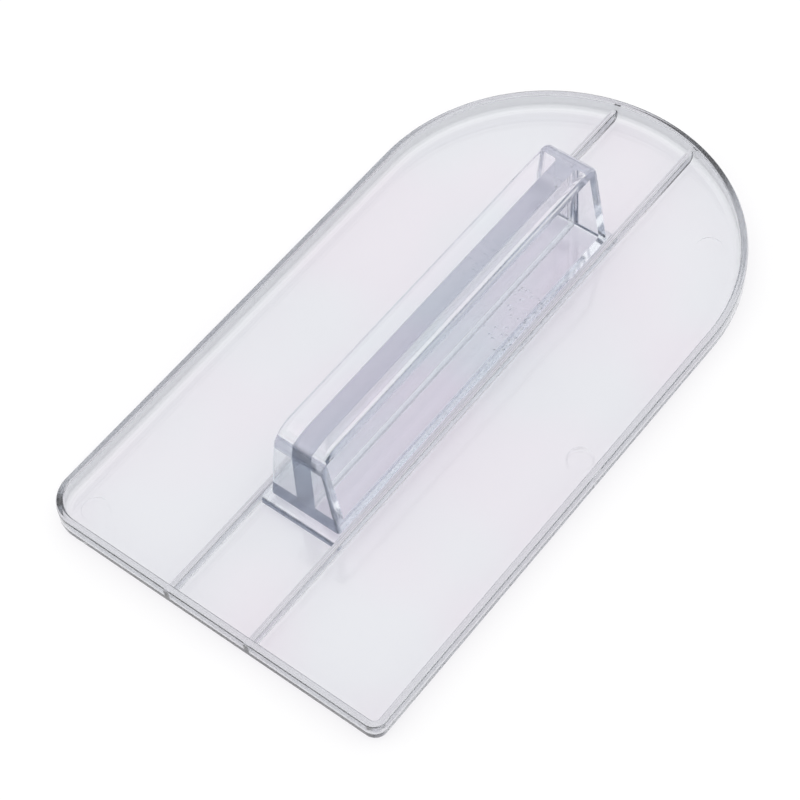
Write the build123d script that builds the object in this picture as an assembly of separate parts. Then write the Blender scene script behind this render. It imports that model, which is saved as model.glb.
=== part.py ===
from build123d import *
import os

# Icing smoother: a shallow clear tray with one straight end and one round end, stiffened by
# two ribs, and a separately moulded bridge handle that is bonded to it between the ribs.
# Millimetres, +Z up. The origin is the middle of the smoothing face, on the face itself, with
# the straight end towards -Y and the round end towards +Y. The ribs and the handle stand a
# little to the right of the middle, as the photographed one has them.

# Plate, seen from above
plate_length = 145.0
plate_width = 80.0
left_corner_radius = 7.4
right_corner_radius = 2.7

# Plate, through its thickness
plate_height = 5.6
floor_thickness = 1.3
rim_thickness = 1.45
bottom_edge_radius = 2.0
rim_edge_radius = 0.5
rim_foot_radius = 1.2

# Stiffening ribs that run from rim to rim and guide the handle foot
centre_line = 0.2
rib_gap = 17.7
rib_width = 1.25
rib_height = 2.6
rib_edge_radius = 0.45

# Handle foot, the flange that lies on the plate floor between the ribs
foot_start = 26.6
foot_length = 89.6
foot_thickness = 2.1
foot_side_clearance = 0.1
foot_nose_radius = 1.3
foot_edge_radius = 0.2
end_ledge = 1.9

# Handle body, a trapezium seen from its end and slightly narrower on top seen from its side
body_height = 20.8
body_foot_width = 16.5
body_top_width = 11.0
body_end_draft = 0.4
body_end_radius = 4.4
body_side_radius = 0.55

# Handle section
web_thickness = 4.6
end_wall_thickness = 2.6
top_thickness = 2.3
base_thickness = 2.6
recess_corner_radius = 1.0
recess_edge_radius = 0.25

# One length that carries every cut and every buried end past the face it has to cross
overrun = 0.5

# Places that follow from the sizes above
straight_edge = -plate_length / 2
arc_centre = plate_length / 2 - plate_width / 2
foot_width = rib_gap - 2 * foot_side_clearance
foot_middle = straight_edge + foot_start + foot_length / 2
body_length = foot_length - 2 * end_ledge
body_bottom = floor_thickness + foot_thickness
body_top = body_bottom + body_height
recess_bottom = body_bottom + base_thickness
recess_top = body_top - top_thickness
recess_length = body_length - 2 * end_wall_thickness


def plate_outline(inset):
    """The plan shape of the plate, drawn a distance inside its outer edge."""
    half_width = plate_width / 2 - inset
    near = straight_edge + inset
    left_radius = max(left_corner_radius - inset, rim_edge_radius)
    right_radius = max(right_corner_radius - inset, rim_edge_radius)
    with BuildLine() as edge:
        left_side = Line((-half_width, arc_centre), (-half_width, near + left_radius))
        left_corner = TangentArc(left_side @ 1, (-half_width + left_radius, near), tangent=left_side % 1)
        straight = Line(left_corner @ 1, (half_width - right_radius, near))
        right_corner = TangentArc(straight @ 1, (half_width, near + right_radius), tangent=straight % 1)
        right_side = Line(right_corner @ 1, (half_width, arc_centre))
        TangentArc(right_side @ 1, (-half_width, arc_centre), tangent=right_side % 1)
    return make_face(edge.edges())


def plate_tray():
    """The floor with its upturned rim: a solid plate, rounded underneath and hollowed from above."""
    slab = extrude(plate_outline(0), plate_height)
    slab = fillet(slab.edges().group_by(Axis.Z)[0], bottom_edge_radius)
    hollow = Pos(0, 0, floor_thickness) * extrude(plate_outline(rim_thickness), plate_height)
    tray = slab - hollow
    tray = fillet(tray.edges().group_by(Axis.Z)[-1], rim_edge_radius)
    floor_edges = tray.faces().filter_by(Axis.Z).sort_by(Axis.Z)[1].edges()
    return fillet(floor_edges, rim_foot_radius)


def stiffening_rib(side):
    """One low rib on the floor, its top edges rounded and both ends buried in the rim."""
    middle = centre_line + side * (rib_gap + rib_width) / 2
    foot = floor_thickness / 2
    height = floor_thickness + rib_height - foot
    bar = Pos(middle, 0, foot + height / 2) * Box(rib_width, plate_length, height)
    bar = fillet(bar.edges().filter_by(Axis.Y).group_by(Axis.Z)[-1], rib_edge_radius)
    return bar & extrude(plate_outline(rim_thickness / 2), plate_height)


def smoothing_plate():
    """The tray with its two ribs, moulded in one piece."""
    return plate_tray() + stiffening_rib(-1) + stiffening_rib(1)


def handle_body():
    """The solid bridge before its recesses are cut: narrow on top, wide at the foot, rounded outside."""
    half_foot = body_foot_width / 2
    half_top = body_top_width / 2
    half_length = body_length / 2
    half_top_length = half_length - body_end_draft
    with BuildSketch(Plane.YZ) as side_view:
        with BuildLine():
            Polyline((-half_length, body_bottom), (half_length, body_bottom),
                     (half_top_length, body_top), (-half_top_length, body_top), close=True)
        make_face()
        fillet(side_view.vertices().group_by(Axis.Y)[-1], body_end_radius)
    with BuildSketch(Plane.XZ) as end_view:
        with BuildLine():
            Polyline((-half_foot, body_bottom), (half_foot, body_bottom),
                     (half_top, body_top), (-half_top, body_top), close=True)
        make_face()
    block = extrude(side_view.sketch, half_foot, both=True) & extrude(end_view.sketch, half_length, both=True)
    across = block.faces().sort_by(Axis.X)
    outlines = across[0].edges() + across[-1].edges()
    above_foot = [edge for edge in outlines if edge.center().Z > body_bottom]
    return fillet(above_foot, body_side_radius)


def finger_recess(side):
    """The space cut out of one side of the bridge, where the fingers hold it."""
    depth = body_foot_width / 2 + overrun - web_thickness / 2
    height = recess_top - recess_bottom
    middle = side * (web_thickness / 2 + depth / 2)
    space = Pos(middle, 0, recess_bottom + height / 2) * Box(depth, recess_length, height)
    upright = space.edges().filter_by(Axis.Z).sort_by(Axis.X)
    space = fillet(upright[-2:] if side < 0 else upright[:2], recess_corner_radius)
    across = space.faces().sort_by(Axis.X)
    web_side = across[-1] if side < 0 else across[0]
    return fillet(web_side.edges().filter_by(Axis.Y), recess_edge_radius)


def handle_foot():
    """The thin flange under the bridge that lies between the ribs, its two ends rounded over."""
    middle = floor_thickness + foot_thickness / 2
    flange = Pos(0, 0, middle) * Box(foot_width, foot_length, foot_thickness)
    flange = fillet(flange.edges().filter_by(Axis.X).group_by(Axis.Z)[-1], foot_nose_radius)
    return fillet(flange.edges().filter_by(Axis.Y).group_by(Axis.Z)[-1], foot_edge_radius)


def grip_handle():
    """The bridge, its two recesses and its foot, moulded in one piece."""
    bridge = handle_body() - finger_recess(-1) - finger_recess(1)
    return Pos(centre_line, foot_middle, 0) * (bridge + handle_foot())


parts = {
    "smoothing_plate": smoothing_plate(),
    "grip_handle": grip_handle(),
}

os.makedirs("parts", exist_ok=True)
for name, shape in parts.items():
    export_step(shape, f"parts/{name}.step")
    print(name, "volume", round(shape.volume), "cubic mm")
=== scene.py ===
import math

import bmesh
import bpy
from mathutils import Matrix, Vector


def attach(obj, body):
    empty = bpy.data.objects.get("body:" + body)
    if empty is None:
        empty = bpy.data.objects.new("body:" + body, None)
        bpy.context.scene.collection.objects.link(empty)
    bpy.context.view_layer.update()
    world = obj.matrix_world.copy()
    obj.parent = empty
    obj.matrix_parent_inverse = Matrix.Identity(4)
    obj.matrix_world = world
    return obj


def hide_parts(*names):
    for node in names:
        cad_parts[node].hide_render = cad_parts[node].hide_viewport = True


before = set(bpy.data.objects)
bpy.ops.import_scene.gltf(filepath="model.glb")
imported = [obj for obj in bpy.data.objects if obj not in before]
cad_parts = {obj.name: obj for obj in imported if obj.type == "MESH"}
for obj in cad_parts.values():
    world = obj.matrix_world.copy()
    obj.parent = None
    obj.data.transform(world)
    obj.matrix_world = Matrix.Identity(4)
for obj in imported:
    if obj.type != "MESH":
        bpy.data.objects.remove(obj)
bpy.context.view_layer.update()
mm = 0.001
print("frame loaded")

# Everything below is in metres, in the frame of the CAD nodes: the origin is the middle of the
# smoothing face, the straight end is towards -Y, the round end towards +Y, the handle is up.
# The dictionaries hold millimetres.

# how every piece is meshed
finish = {
    "arcError": 0.004,  # how far the flats of a rounding may stray from the true arc
    "mergeWithin": 0.001,
    "dropBelow": 0.0005,
    "smoothAngle": 32.0,  # degrees
    "flatWeight": 100,
    "slack": 0.01,  # how near counts as the same place
    "aligned": 0.99,  # the rest are shares of a direction's length
    "sideways": 0.9,
    "upright": 0.05,
}


def deselectAll():
    if bpy.context.object and bpy.context.object.mode != "OBJECT":
        bpy.ops.object.mode_set(mode="OBJECT")
    bpy.ops.object.select_all(action="DESELECT")


def startBlock(name, low, high):
    # a cube between two corners given in mm, its place already in its mesh
    deselectAll()
    low, high = Vector(low) * mm, Vector(high) * mm
    bpy.ops.mesh.primitive_cube_add(size=1, location=(low + high) / 2)
    block = bpy.context.active_object
    block.name = block.data.name = name
    block.scale = high - low
    bpy.ops.object.transform_apply(location=True, rotation=True, scale=True)
    bpy.ops.object.mode_set(mode="EDIT")
    return block


def pick(block, kind, test):
    # selects the faces or edges whose middle (in mm) and normal or direction pass the test
    bpy.ops.mesh.select_mode(type=kind)
    bpy.ops.mesh.select_all(action="DESELECT")
    mesh = bmesh.from_edit_mesh(block.data)
    if kind == "FACE":
        for face in mesh.faces:
            if test(face.calc_center_median() / mm, face.normal):
                face.select_set(True)
    else:
        for edge in mesh.edges:
            start, end = [corner.co / mm for corner in edge.verts]
            if test((start + end) / 2, (end - start).normalized()):
                edge.select_set(True)
    bmesh.update_edit_mesh(block.data)


def pickBetween(block, one, other, test):
    # selects the edges between a face of one kind and a face of another, told by their normals
    bpy.ops.mesh.select_mode(type="EDGE")
    bpy.ops.mesh.select_all(action="DESELECT")
    mesh = bmesh.from_edit_mesh(block.data)
    for edge in mesh.edges:
        if len(edge.link_faces) != 2:
            continue
        a, b = [face.normal for face in edge.link_faces]
        middle = (edge.verts[0].co + edge.verts[1].co) / 2 / mm
        if ((one(a) and other(b)) or (one(b) and other(a))) and test(middle):
            edge.select_set(True)
    bmesh.update_edit_mesh(block.data)


def isTop(normal):
    return normal.z > finish["aligned"]


def isLevel(normal):
    return abs(normal.z) > finish["aligned"]


def isUpright(normal):
    return abs(normal.z) < finish["upright"]


def isSide(normal):
    return abs(normal.x) > finish["sideways"]


def isNotSide(normal):
    return not isSide(normal)


def near(a, b):
    return abs(a - b) < finish["slack"]


def runsAlong(way, axis):
    return abs(way["xyz".index(axis)]) > finish["aligned"]


def arcSteps(radius):
    # how many flats a quarter circle needs to stay true, rounded up to an even number: when
    # odd counts were let through as well, the plate's edges bulged out by 0.2 mm
    halfFlat = math.acos(1 - finish["arcError"] / radius)
    return 2 * math.ceil(math.pi / 8 / halfFlat)


def roundOff(radius):
    bpy.ops.mesh.bevel(
        offset=radius * mm, segments=arcSteps(radius), profile=0.5, affect="EDGES"
    )


def joinTo(main, other, operation):
    # boolean modifier, applied, and the other object removed
    deselectAll()
    bpy.context.view_layer.objects.active = main
    main.select_set(True)
    step = main.modifiers.new("join", "BOOLEAN")
    step.operation = operation
    step.solver = "EXACT"
    step.object = other
    bpy.ops.object.modifier_apply(modifier=step.name)
    bpy.data.objects.remove(other)


def finishPiece(piece):
    # smooth rounded edges, flat faces kept truly flat for what is seen through them
    deselectAll()
    bpy.context.view_layer.objects.active = piece
    piece.select_set(True)
    bpy.ops.object.mode_set(mode="EDIT")
    bpy.ops.mesh.select_all(action="SELECT")
    bpy.ops.mesh.remove_doubles(threshold=finish["mergeWithin"] * mm)
    bpy.ops.mesh.dissolve_degenerate(threshold=finish["dropBelow"] * mm)
    bpy.ops.mesh.normals_make_consistent(inside=False)
    bpy.ops.object.mode_set(mode="OBJECT")
    bpy.ops.object.shade_smooth_by_angle(angle=math.radians(finish["smoothAngle"]))
    for left in list(piece.modifiers):
        bpy.ops.object.modifier_apply(modifier=left.name)
    step = piece.modifiers.new("flatFaces", "WEIGHTED_NORMAL")
    step.keep_sharp = True
    step.weight = finish["flatWeight"]
    bpy.ops.object.modifier_apply(modifier=step.name)
    deselectAll()


# the plate: a shallow tray, moulded in one piece with its two ribs
plate = {
    "length": 145.0,
    "width": 80.0,
    "leftCorner": 7.4,
    "rightCorner": 2.7,
    "height": 5.6,
    "floor": 1.3,
    "rim": 1.45,
    "bottomEdge": 2.0,
    "rimEdge": 0.5,
    "rimFoot": 1.2,
    "ribGap": 17.7,
    "ribWidth": 1.25,
    "ribHeight": 2.6,
    "ribEdge": 0.45,
    "ribShift": 0.2,
    "markRadius": 2.75,
    "marks": ((34.0, -3.3, 0.4), (-33.0, -65.5, 0.12), (25.8, 52.6, 0.05)),  # x, y, depth
}


def modelPlate():
    v = plate
    half, end = v["width"] / 2, v["length"] / 2
    block = startBlock("clearPlate", (-half, -end, 0), (half, end, v["height"]))

    # seen from above: the round end first, then the two corners of the straight end
    pick(block, "EDGE", lambda middle, way: runsAlong(way, "z") and near(middle.y, end))
    roundOff(half)
    bpy.ops.mesh.select_all(action="SELECT")
    bpy.ops.mesh.remove_doubles(threshold=2 * finish["mergeWithin"] * mm)
    for x, radius in ((-half, v["leftCorner"]), (half, v["rightCorner"])):
        pick(
            block,
            "EDGE",
            lambda middle, way: runsAlong(way, "z") and near(middle.x, x) and near(middle.y, -end),
        )
        roundOff(radius)

    # hollowed from above, which leaves the rim standing
    pick(block, "FACE", lambda middle, normal: isTop(normal))
    bpy.ops.mesh.inset(thickness=v["rim"] * mm, use_even_offset=True)
    down = v["floor"] - v["height"]
    bpy.ops.mesh.extrude_region_move(TRANSFORM_OT_translate={"value": (0, 0, down * mm)})
    for height, radius in ((0, v["bottomEdge"]), (v["floor"], v["rimFoot"])):
        pick(block, "EDGE", lambda middle, way: near(middle.z, height) and near(way.z, 0))
        roundOff(radius)
    pickBetween(block, isLevel, isUpright, lambda middle: near(middle.z, v["height"]))
    roundOff(v["rimEdge"])
    deselectAll()

    for side in (-1, 1):
        joinTo(block, modelRib(side), "UNION")
    for mark in v["marks"]:
        joinTo(block, modelMark(mark), "DIFFERENCE")
    finishPiece(block)
    return block


def modelRib(side):
    v = plate
    inner = v["ribGap"] / 2
    outer = inner + v["ribWidth"]
    low, high = (inner, outer) if side > 0 else (-outer, -inner)
    top = v["floor"] + v["ribHeight"]

    # both ends stop in the middle of the rim
    nearEnd = v["rim"] / 2 - v["length"] / 2
    arcRadius = v["width"] / 2 - v["rim"] / 2
    farEnd = v["length"] / 2 - v["width"] / 2 + math.sqrt(arcRadius**2 - outer**2)
    rib = startBlock(
        "rib",
        (low + v["ribShift"], nearEnd, v["floor"] / 2),
        (high + v["ribShift"], farEnd, top),
    )
    pick(rib, "EDGE", lambda middle, way: runsAlong(way, "y") and near(middle.z, top))
    roundOff(v["ribEdge"])
    deselectAll()
    return rib


def modelMark(mark):
    # the shallow round print that an ejector pin leaves in the floor, its wall sloping outwards
    v = plate
    x, y, depth = mark
    deselectAll()
    bpy.ops.mesh.primitive_cone_add(
        vertices=4 * arcSteps(v["markRadius"]),
        radius1=(v["markRadius"] - depth) * mm,
        radius2=(v["markRadius"] + depth) * mm,
        depth=2 * depth * mm,
        location=(x * mm, y * mm, v["floor"] * mm),
    )
    return bpy.context.active_object


# the bridge handle, moulded in one piece with the flange that it is bonded by
handle = {
    "footStart": 26.6,
    "footLength": 89.6,
    "footWidth": 17.5,
    "footShift": 0.2,
    "footThickness": 2.1,
    "footNose": 1.3,
    "footSide": 0.2,
    "endLedge": 1.9,
    "bodyShift": 0.5,
    "topLean": -0.35,
    "bodyHeight": 20.8,
    "bodyFootWidth": 16.5,
    "bodyTopWidth": 11.0,
    "bodyBuried": 0.5,
    "nearDraft": 0.8,
    "farDraft": 0.0,
    "nearEnd": 5.0,
    "farEnd": 3.0,
    "bodySide": 0.8,
    "web": 4.4,
    "nearWall": 2.0,
    "farWall": 2.7,
    "top": 2.3,
    "base": 2.6,
    "nearCorner": 0.3,
    "farCorner": 1.0,
    "farFoot": 0.8,
    "recessFoot": 0.1,
    "pushIn": 2.0,  # any depth will do, because the face is then laid flat on the web
    "bondGap": 0.03,
}


def handlePlaces():
    # the heights and ends that follow from the handle's sizes, in mm
    v = handle
    middle = -plate["length"] / 2 + v["footStart"] + v["footLength"] / 2
    halfLength = v["footLength"] / 2 - v["endLedge"]
    footTop = plate["floor"] + v["footThickness"]
    bodyTop = footTop + v["bodyHeight"]
    return {
        "middle": middle,
        "halfLength": halfLength,
        "footLow": plate["floor"] + v["bondGap"],
        "footTop": footTop,
        "bodyTop": bodyTop,
        "recessLow": footTop + v["base"],
        "recessHigh": bodyTop - v["top"],
        "recessNear": middle - halfLength + v["nearWall"],
        "recessFar": middle + halfLength - v["farWall"],
    }


def modelHandle():
    body = modelBody()
    for side in (-1, 1):
        cutRecess(body, side)
    bpy.ops.mesh.select_all(action="SELECT")
    bpy.ops.transform.translate(value=(handle["bodyShift"] * mm, 0, 0))
    joinTo(body, modelFoot(), "UNION")
    finishPiece(body)
    return body


def modelBody():
    # the bridge before its recesses: narrow on top, wide at the foot, rounded outside
    v, at = handle, handlePlaces()
    halfTop = v["bodyTopWidth"] / 2
    slope = (v["bodyFootWidth"] / 2 - halfTop) / v["bodyHeight"]
    halfUnder = v["bodyFootWidth"] / 2 + slope * v["bodyBuried"]
    body = startBlock(
        "clearHandle",
        (-halfUnder, at["middle"] - at["halfLength"], at["footTop"] - v["bodyBuried"]),
        (halfUnder, at["middle"] + at["halfLength"], at["bodyTop"]),
    )

    # the top face is narrowed, shortened and leant over
    shorter = 1 - (v["nearDraft"] + v["farDraft"]) / (2 * at["halfLength"])
    pick(body, "FACE", lambda middle, normal: isTop(normal))
    bpy.ops.transform.resize(
        value=(halfTop / halfUnder, shorter, 1),
        center_override=(0, at["middle"] * mm, at["bodyTop"] * mm),
    )
    bpy.ops.transform.translate(
        value=(v["topLean"] * mm, (v["nearDraft"] - v["farDraft"]) / 2 * mm, 0)
    )
    for end, radius in ((1, v["farEnd"]), (-1, v["nearEnd"])):
        pick(
            body,
            "EDGE",
            lambda middle, way: runsAlong(way, "x")
            and near(middle.z, at["bodyTop"])
            and end * (middle.y - at["middle"]) > at["halfLength"] / 2,
        )
        roundOff(radius)
    pickBetween(body, isSide, isNotSide, lambda middle: middle.z > at["footTop"])
    roundOff(v["bodySide"])
    return body


def cutRecess(body, side):
    # the space for the fingers: one side face is bisected round it and pushed in to the web
    v, at = handle, handlePlaces()
    low, high = at["recessLow"], at["recessHigh"]
    nearY, farY = at["recessNear"], at["recessFar"]
    webFace = side * v["web"] / 2

    def isOuter(normal):
        return side * normal.x > finish["sideways"]

    def isLevelEdge(middle):
        return side * middle.x > 0 and (near(middle.z, low) or near(middle.z, high))

    for spot, way in (
        ((0, 0, low), (0, 0, 1)),
        ((0, 0, high), (0, 0, 1)),
        ((0, nearY, 0), (0, 1, 0)),
        ((0, farY, 0), (0, 1, 0)),
    ):
        pick(body, "FACE", lambda middle, normal: isOuter(normal))
        bpy.ops.mesh.bisect(plane_co=Vector(spot) * mm, plane_no=way)
    pick(
        body,
        "FACE",
        lambda middle, normal: isOuter(normal)
        and low < middle.z < high
        and nearY < middle.y < farY,
    )
    inward = -side * v["pushIn"] * mm
    bpy.ops.mesh.extrude_region_move(TRANSFORM_OT_translate={"value": (inward, 0, 0)})
    bpy.ops.transform.resize(value=(0, 1, 1), center_override=(webFace * mm, 0, 0))
    bpy.ops.mesh.normals_make_consistent(inside=False)
    pick(
        body,
        "EDGE",
        lambda middle, way: runsAlong(way, "x") and near(middle.y, farY) and isLevelEdge(middle),
    )
    roundOff(v["farFoot"])
    for y, radius in ((nearY, v["nearCorner"]), (farY, v["farCorner"])):
        pick(
            body,
            "EDGE",
            lambda middle, way: runsAlong(way, "z")
            and near(middle.x, webFace)
            and near(middle.y, y),
        )
        roundOff(radius)
    pickBetween(body, isLevel, isUpright, isLevelEdge)
    roundOff(v["recessFoot"])


def modelFoot():
    v, at = handle, handlePlaces()
    halfWidth, halfLength = v["footWidth"] / 2, v["footLength"] / 2
    foot = startBlock(
        "foot",
        (v["footShift"] - halfWidth, at["middle"] - halfLength, at["footLow"]),
        (v["footShift"] + halfWidth, at["middle"] + halfLength, at["footTop"]),
    )
    pick(foot, "EDGE", lambda middle, way: runsAlong(way, "x") and near(middle.z, at["footTop"]))
    roundOff(v["footNose"])
    aboveBond = at["footLow"] + finish["slack"]
    pickBetween(foot, isSide, isNotSide, lambda middle: middle.z > aboveBond)
    roundOff(v["footSide"])
    deselectAll()
    return foot


def linearColour(code):
    # an sRGB hex code as the linear colour that a shader takes
    parts = [int(code[i : i + 2], 16) / 255 for i in (1, 3, 5)]
    return [c / 12.92 if c <= 0.04045 else ((c + 0.055) / 1.055) ** 2.4 for c in parts] + [1.0]


def addNode(tree, kind, settings=None, links=None):
    node = tree.nodes.new(kind)
    for name, value in (settings or {}).items():
        if name in node.inputs:
            node.inputs[name].default_value = value
        else:
            setattr(node, name, value)
    for name, source in (links or {}).items():
        tree.links.new(source, node.inputs[name])
    return node


def heightMask(tree, place, low, high):
    # 0 below the low height and 1 above the high one, both in mm
    height = addNode(tree, "ShaderNodeSeparateXYZ", None, {"Vector": place}).outputs["Z"]
    step = addNode(
        tree,
        "ShaderNodeMapRange",
        {"From Min": low * mm, "From Max": high * mm},
        {"Value": height},
    )
    return step.outputs["Result"]


def stressTint(tree, place, v):
    # soft clouds between two almost white tints, as stress leaves them in a moulding
    least, most = v["stressSpread"]
    clouds = addNode(
        tree,
        "ShaderNodeTexNoise",
        {"Scale": 1 / (v["stressWave"] * mm), "Detail": v["stressDetail"]},
        {"Vector": place},
    )
    spread = addNode(
        tree,
        "ShaderNodeMapRange",
        {"From Min": least, "From Max": most},
        {"Value": clouds.outputs["Fac"]},
    )
    tint = addNode(
        tree,
        "ShaderNodeMixRGB",
        {"Color1": linearColour(v["coolTint"]), "Color2": linearColour(v["warmTint"])},
        {"Fac": spread.outputs["Result"]},
    )
    return tint.outputs[0]


def bubbleBump(tree, place, v):
    # the speckled patch seen through the base, drawn as small air bubbles in the bond: a guess
    cells = addNode(
        tree, "ShaderNodeTexVoronoi", {"Scale": 1 / (v["bubblePitch"] * mm)}, {"Vector": place}
    )
    dots = addNode(
        tree,
        "ShaderNodeMapRange",
        {
            "From Min": v["bubbleCore"],
            "From Max": v["bubbleRim"],
            "To Min": 1.0,
            "To Max": 0.0,
        },
        {"Value": cells.outputs["Distance"]},
    )
    away = addNode(tree, "ShaderNodeVectorMath", {"operation": "DISTANCE"}, {"Vector": place})
    away.inputs[1].default_value = [c * mm for c in v["bubbleSpot"]]
    reach = v["bubbleReach"] * mm
    patch = addNode(
        tree,
        "ShaderNodeMapRange",
        {"From Min": reach / 2, "From Max": reach, "To Min": 1.0, "To Max": 0.0},
        {"Value": away.outputs["Value"]},
    )
    above = heightMask(tree, place, *v["bubbleFade"])
    under = addNode(tree, "ShaderNodeMath", {"operation": "SUBTRACT"})
    under.inputs[0].default_value = 1.0
    tree.links.new(above, under.inputs[1])
    bump = dots.outputs["Result"]
    for mask in (patch.outputs["Result"], under.outputs[0]):
        both = addNode(tree, "ShaderNodeMath", {"operation": "MULTIPLY"})
        tree.links.new(bump, both.inputs[0])
        tree.links.new(mask, both.inputs[1])
        bump = both.outputs[0]
    raised = addNode(
        tree,
        "ShaderNodeBump",
        {"Strength": 1.0, "Distance": v["bubbleHeight"] * mm},
        {"Height": bump},
    )
    return raised.outputs[0]


# Taken to be clear styrene plastic, injection moulded in a polished tool. It looks like glass
# with a soft haze: almost colourless through the thin floor, blue grey along a wall or the
# web, with bright and dark lines at each rounded edge because its index is high.
# on the plate the rim and ribs are grey partly from absorption and partly from painted shade mixed
# into the colour above the rim's foot
def clearStyrene(name, v):
    material = bpy.data.materials.new(name)
    material.use_nodes = True
    tree = material.node_tree
    tree.nodes.clear()
    place = addNode(tree, "ShaderNodeTexCoord").outputs["Object"]
    flow = addNode(
        tree,
        "ShaderNodeTexNoise",
        {"Scale": 1 / (v["flowWave"] * mm), "Detail": v["flowDetail"]},
        {"Vector": place},
    )
    haze = addNode(
        tree,
        "ShaderNodeMapRange",
        {"To Min": v["clearest"], "To Max": v["haziest"]},
        {"Value": flow.outputs["Fac"]},
    )
    tint = stressTint(tree, place, v)
    # painted shade: above the rim's foot (the rim and the ribs) the colour is mixed towards grey,
    # standing in for the shadow on the floor under them
    if "paintedRimShade" in v:
        above = heightMask(tree, place, v["paintedShadeLow"], v["paintedShadeHigh"])
        edge = addNode(
            tree,
            "ShaderNodeMixRGB",
            {"Color2": linearColour(v["paintedRimShade"])},
            {"Fac": above, "Color1": tint},
        )
        tint = edge.outputs[0]
    shader = addNode(
        tree,
        "ShaderNodeBsdfPrincipled",
        {"IOR": v["index"], "Transmission Weight": 1.0},
        {"Base Color": tint, "Roughness": haze.outputs["Result"]},
    )
    if "bubblePitch" in v:
        tree.links.new(bubbleBump(tree, place, v), shader.inputs["Normal"])

    # light on its way to the floor passes straight through, so the shadow stays soft and pale
    path = addNode(tree, "ShaderNodeLightPath")
    soft = addNode(tree, "ShaderNodeMath", {"operation": "MAXIMUM"})
    tree.links.new(path.outputs["Is Shadow Ray"], soft.inputs[0])
    tree.links.new(path.outputs["Is Diffuse Ray"], soft.inputs[1])
    through = addNode(tree, "ShaderNodeBsdfTransparent", {"Color": linearColour(v["shadowTint"])})
    surface = addNode(tree, "ShaderNodeMixShader")
    tree.links.new(soft.outputs[0], surface.inputs[0])
    tree.links.new(shader.outputs[0], surface.inputs[1])
    tree.links.new(through.outputs[0], surface.inputs[2])
    inside = addNode(
        tree,
        "ShaderNodeVolumeAbsorption",
        {"Color": linearColour(v["absorb"]), "Density": v["density"]},
    )
    addNode(
        tree,
        "ShaderNodeOutputMaterial",
        None,
        {"Surface": surface.outputs[0], "Volume": inside.outputs[0]},
    )
    return material


# what the user may change in both plastics
styrene = {
    "index": 1.57,
    "clearest": 0.06,
    "haziest": 0.12,
    "flowWave": 17.0,
    "flowDetail": 3.0,
    "stressDetail": 1.0,
    "stressWave": 22.0,
    "stressSpread": (0.4, 0.6),
}

# the plate's: its rim and ribs are painted greyer than its floor, a painted shade that stands in
# for the shadow they throw on the floor below them
plateLook = styrene | {
    "stressWave": 35.0,
    "coolTint": "#fafdfe",
    "warmTint": "#fcfafd",
    "paintedRimShade": "#d2d4d8",
    "paintedShadeLow": 1.35,
    "paintedShadeHigh": 2.2,
    "shadowTint": "#f4f3f5",
    "absorb": "#8c92a0",
    "density": 10.0,
}

# the handle's: the bubbles' size and spacing are set
handleLook = styrene | {
    "coolTint": "#fcffff",
    "warmTint": "#fffdff",
    "shadowTint": "#f9f8fa",
    "absorb": "#7b90ae",
    "density": 16.5,
    "bubblePitch": 1.5,
    "bubbleCore": 0.16,  # shares of the pitch
    "bubbleRim": 0.3,
    "bubbleHeight": 0.09,
    "bubbleSpot": (4.5, 14.0, 1.3),
    "bubbleReach": 14.0,
    "bubbleFade": (1.4, 1.5),
}

platePiece = modelPlate()
print("plate modelled", len(platePiece.data.polygons), "faces")
handlePiece = modelHandle()
print("handle modelled", len(handlePiece.data.polygons), "faces")

platePiece.data.materials.append(clearStyrene("clearMouldedStyrenePlate", plateLook))
handlePiece.data.materials.append(clearStyrene("clearMouldedStyreneHandle", handleLook))
for piece, node, slotName in (
    (platePiece, "smoothing_plate", "clear_plate"),
    (handlePiece, "grip_handle", "clear_handle"),
):
    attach(piece, "root")
    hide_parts(node)
print("pieces dressed")

# floor and light; the sky's horizon and top are strengths, its heights are shares of straight up
studio = {
    "floorSize": 3000.0,
    "floorDrop": 0.05,
    "floorPale": "#f6f6f6",
    "floorShade": "#f2f2f2",
    "floorClouds": 40.0,
    "floorRoughness": 0.9,
    "skyColour": "#ffffff",
    "skyTop": 1.22,
    "skyHorizon": 0.12,
    "skyRise": (0.1, 0.4),
}

# the camera, solved from the photo's outline, rim, rib and handle lines
photoView = {
    "turn": (2.43276281, 0.809952377, -0.326958856),
    "offset": (9.10168088, -6.70195089, 467.030535),
    "focalPixels": 2404.50077,
    "imagePixels": 800,
    "sensor": 36.0,
    "clip": (0.01, 10),  # metres
}


def mattBoard():
    # matt white board: pale and even, with hardly visible clouds
    shade, pale = studio["floorShade"], studio["floorPale"]
    material = bpy.data.materials.new("mattWhiteBoard")
    material.use_nodes = True
    tree = material.node_tree
    place = addNode(tree, "ShaderNodeTexCoord").outputs["Object"]
    clouds = addNode(
        tree,
        "ShaderNodeTexNoise",
        {"Scale": 1 / (studio["floorClouds"] * mm)},
        {"Vector": place},
    )
    tone = addNode(
        tree,
        "ShaderNodeMixRGB",
        {"Color1": linearColour(shade), "Color2": linearColour(pale)},
        {"Fac": clouds.outputs["Fac"]},
    )
    shader = tree.nodes["Principled BSDF"]
    shader.inputs["Roughness"].default_value = studio["floorRoughness"]
    shader.inputs["Specular IOR Level"].default_value = 0.0
    tree.links.new(tone.outputs[0], shader.inputs["Base Color"])
    return material


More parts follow.
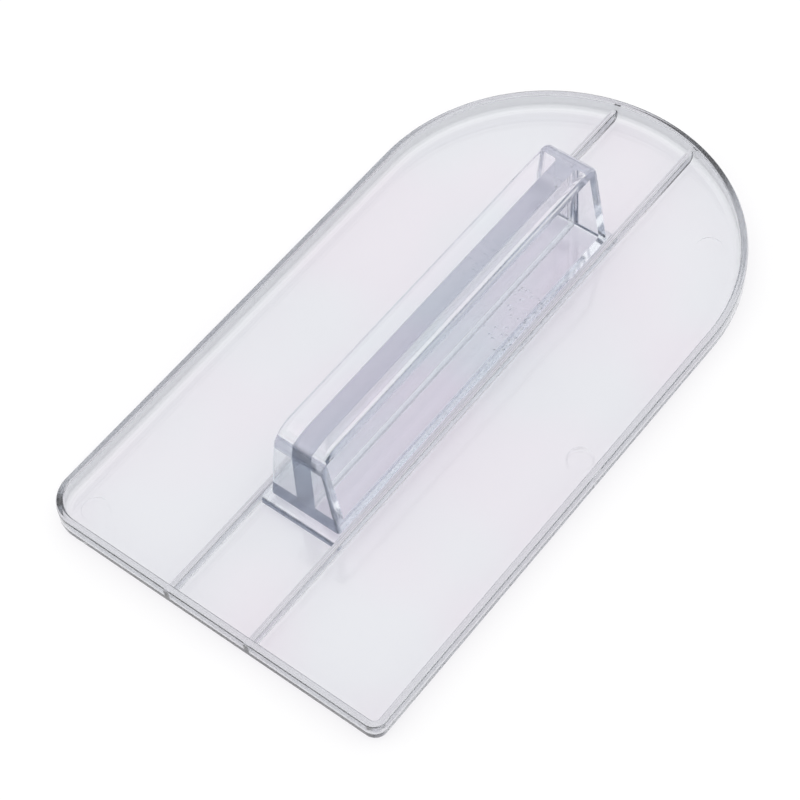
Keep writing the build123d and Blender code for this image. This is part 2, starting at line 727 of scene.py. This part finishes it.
def layFloor():
    deselectAll()
    bpy.ops.mesh.primitive_plane_add(
        size=studio["floorSize"] * mm, location=(0, 0, -studio["floorDrop"] * mm)
    )
    floor = bpy.context.active_object
    floor.name = "floor"
    floor.data.materials.append(mattBoard())


def lightWorld():
    # a white tent: bright overhead, dark at the horizon, which draws the dark edge lines
    world = bpy.data.worlds.new("softTent")
    bpy.context.scene.world = world
    world.use_nodes = True
    tree = world.node_tree
    tree.nodes.clear()
    place = addNode(tree, "ShaderNodeTexCoord").outputs["Generated"]
    split = addNode(tree, "ShaderNodeSeparateXYZ", None, {"Vector": place})
    low, high = studio["skyRise"]
    rise = addNode(
        tree,
        "ShaderNodeMapRange",
        {
            "From Min": low,
            "From Max": high,
            "To Min": studio["skyHorizon"],
            "To Max": studio["skyTop"],
        },
        {"Value": split.outputs["Z"]},
    )
    light = addNode(
        tree,
        "ShaderNodeBackground",
        {"Color": linearColour(studio["skyColour"])},
        {"Strength": rise.outputs["Result"]},
    )
    addNode(tree, "ShaderNodeOutputWorld", None, {"Surface": light.outputs[0]})


def placeCamera():
    view = photoView
    turn = Vector(view["turn"])
    look = Matrix.Rotation(turn.length, 3, turn.normalized())
    spot = -(look.transposed() @ Vector(view["offset"]))
    right, down, forward = look.row[0], look.row[1], look.row[2]
    axes = Matrix((right, -down, -forward)).transposed()
    data = bpy.data.cameras.new("photoView")
    data.sensor_width = view["sensor"]
    data.lens = view["focalPixels"] * view["sensor"] / view["imagePixels"]
    data.clip_start, data.clip_end = view["clip"]
    camera = bpy.data.objects.new("photoView", data)
    bpy.context.scene.collection.objects.link(camera)
    camera.matrix_world = Matrix.Translation(spot * mm) @ axes.to_4x4()
    bpy.context.scene.camera = camera


layFloor()
lightWorld()
placeCamera()
bpy.context.scene.view_settings.view_transform = "Standard"

# clear walls behind clear walls need many passes before the light gets out
passes = 32
paths = bpy.context.scene.cycles
paths.max_bounces = passes
paths.glossy_bounces = passes
paths.transmission_bounces = passes
paths.transparent_max_bounces = passes
paths.blur_glossy = 0.0
print("studio ready")
